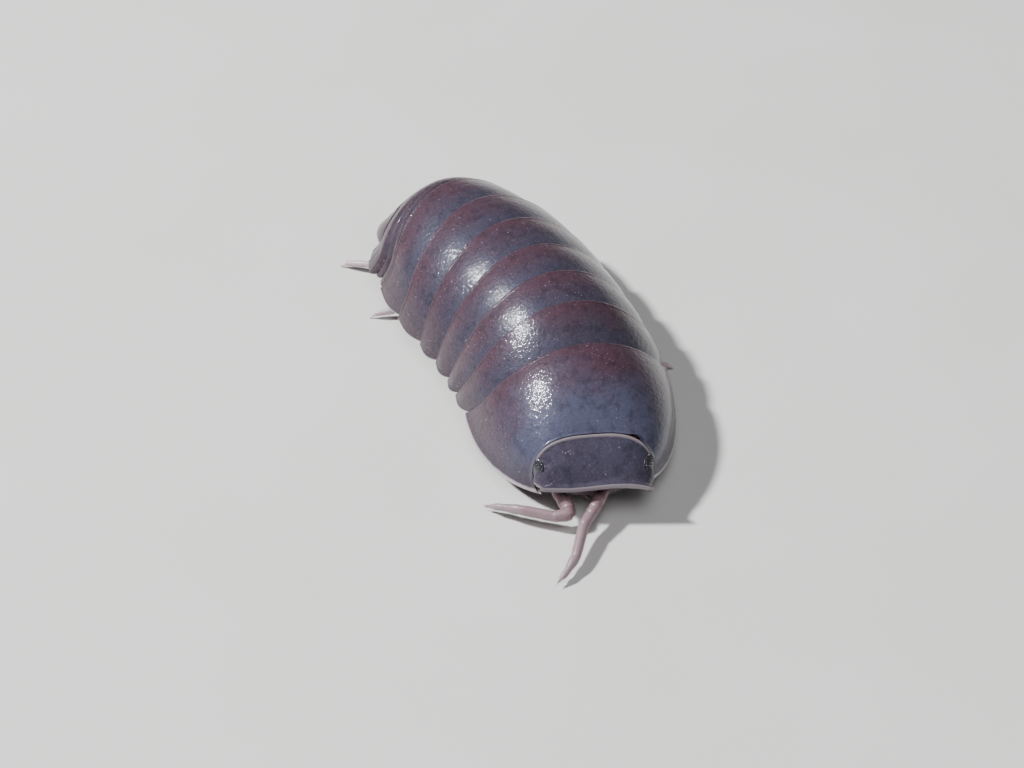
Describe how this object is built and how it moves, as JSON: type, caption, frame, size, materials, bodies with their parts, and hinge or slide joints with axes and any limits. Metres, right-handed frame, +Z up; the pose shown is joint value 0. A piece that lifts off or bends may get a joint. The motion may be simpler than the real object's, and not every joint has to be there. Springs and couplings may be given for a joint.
{
  "type": "pill woodlouse",
  "caption": "Life-size pill woodlouse standing with its domed, plated body gently curved, head lowered and feelers forward.",
  "frame": {"origin": "middle of the animal's footprint box, on the floor under its feet", "axes": "+Z up, head toward -Y, tail toward +Y, the animal's left side toward +X"},
  "size_m": [0.0092, 0.0188, 0.0047],
  "materials": {
    "trunk_plates": "glossy purple-brown cuticle with a blue-grey sheen, paler thin edges and fine pits",
    "tail_plates": "glossy reddish mauve cuticle with pale edges",
    "head_shell": "glossy dark slate cuticle with a pale brow rim",
    "eyes": "cluster of tiny black glossy lenses",
    "feelers": "pale pinkish mauve, slightly translucent",
    "legs": "pale pinkish, slightly translucent cuticle with short bristles",
    "gill_flaps": "thin pale flaps with whitish air-breathing patches",
    "mouthparts": "pale mauve, smooth"
  },
  "bodies": {
    "root": {"pereonite_1": "trunk_plates", "pereonite_2": "trunk_plates", "pereonite_3": "trunk_plates", "pereonite_4": "trunk_plates", "pereonite_5": "trunk_plates", "pereonite_6": "trunk_plates", "pereonite_7": "trunk_plates", "pleon": "tail_plates", "telson": "tail_plates", "head": "head_shell", "mouthparts": "mouthparts", "eye_right": "eyes", "uropod_right": "tail_plates", "pleopods_right": "gill_flaps", "leg_right_1": "legs", "leg_right_2": "legs", "leg_right_3": "legs", "leg_right_4": "legs", "leg_right_5": "legs", "leg_right_6": "legs", "leg_right_7": "legs", "eye_left": "eyes", "uropod_left": "tail_plates", "pleopods_left": "gill_flaps", "leg_left_1": "legs", "leg_left_2": "legs", "leg_left_3": "legs", "leg_left_4": "legs", "leg_left_5": "legs", "leg_left_6": "legs", "leg_left_7": "legs", "antenna_right": "feelers", "antenna_left": "feelers"}
  },
  "joints": []
}
